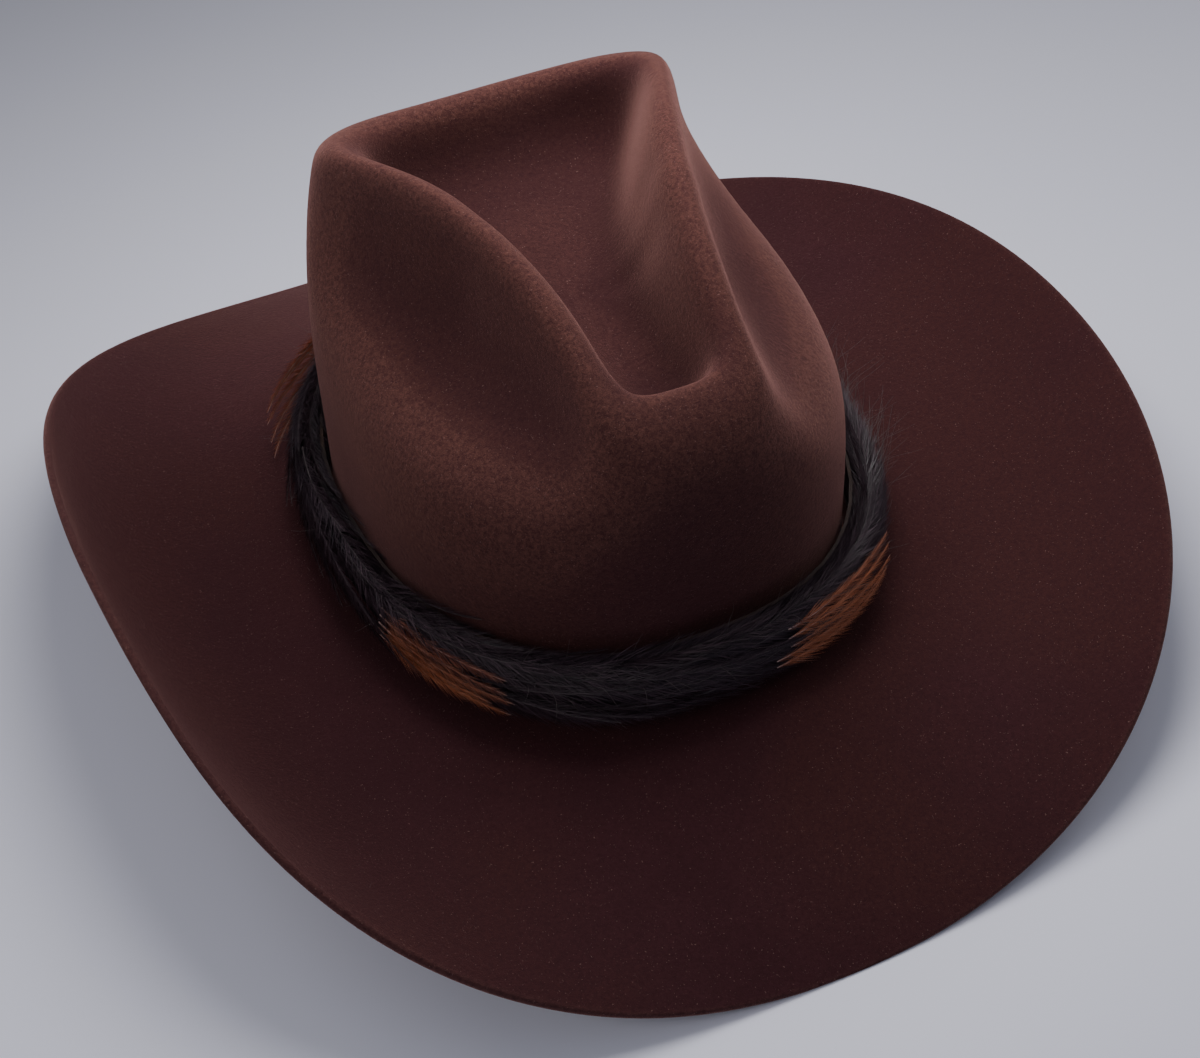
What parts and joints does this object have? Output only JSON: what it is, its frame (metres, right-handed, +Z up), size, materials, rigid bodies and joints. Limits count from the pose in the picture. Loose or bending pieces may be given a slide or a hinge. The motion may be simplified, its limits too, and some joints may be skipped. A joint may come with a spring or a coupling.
{
  "type": "cowboy hat",
  "caption": "Brown felt western hat with a pinch-front crown, curled brim, leather sweatband, satin lining and a feather hatband that lifts off.",
  "frame": {"origin": "under the middle of the hat, on the surface that it stands on", "axes": "+Z up, the wearer's face looks along -Y, +X is at the wearer's left hand"},
  "size_m": [0.386, 0.423, 0.183],
  "materials": {
    "felt": "dense brown fur felt, napped, dull",
    "sweatband_leather": "tan-brown roan leather, semi-gloss",
    "reed_plastic": "translucent off-white plastic reed",
    "reed_tape": "brown woven tape",
    "seam_tape": "brown woven tape",
    "bow_satin": "brown satin ribbon",
    "lining_satin": "bronze-brown satin",
    "piping_satin": "brown satin-covered cord",
    "clear_vinyl": "clear flexible vinyl",
    "band_leather": "dark brown leather",
    "dark_hackle": "blue-black rooster hackle feathers",
    "rust_feather": "rust and orange feathers with pale quills"
  },
  "bodies": {
    "root": {"felt_body": "felt", "sweatband": "sweatband_leather", "sweatband_reed": "reed_plastic", "sweatband_reed_tape": "reed_tape", "sweatband_seam_tape": "seam_tape", "sweatband_bow": "bow_satin", "lining_side": "lining_satin", "lining_tip": "lining_satin", "lining_piping": "piping_satin", "lining_shield": "clear_vinyl"},
    "hatband": {"hatband_backing": "band_leather", "band_end_wrap_left": "band_leather", "band_end_wrap_right": "band_leather", "tie_thong_left": "band_leather", "tie_thong_right": "band_leather", "tie_knot": "band_leather", "hackle_bundle_01": "dark_hackle", "hackle_bundle_02": "dark_hackle", "hackle_bundle_03": "dark_hackle", "hackle_bundle_04": "dark_hackle", "hackle_bundle_05": "dark_hackle", "hackle_bundle_06": "dark_hackle", "hackle_bundle_07": "dark_hackle", "hackle_bundle_08": "dark_hackle", "hackle_bundle_09": "dark_hackle", "hackle_bundle_10": "dark_hackle", "hackle_bundle_11": "dark_hackle", "hackle_bundle_12": "dark_hackle", "accent_feather_front_left": "rust_feather", "accent_feather_front_right": "rust_feather", "accent_feather_rear_left": "rust_feather", "accent_feather_rear_right": "rust_feather"}
  },
  "joints": [
    {"name": "hatband_lift", "type": "slide", "parent": "root", "child": "hatband", "axis": [0, 0.022, 0.9998], "range_m": [0, 0.165]}
  ]
}
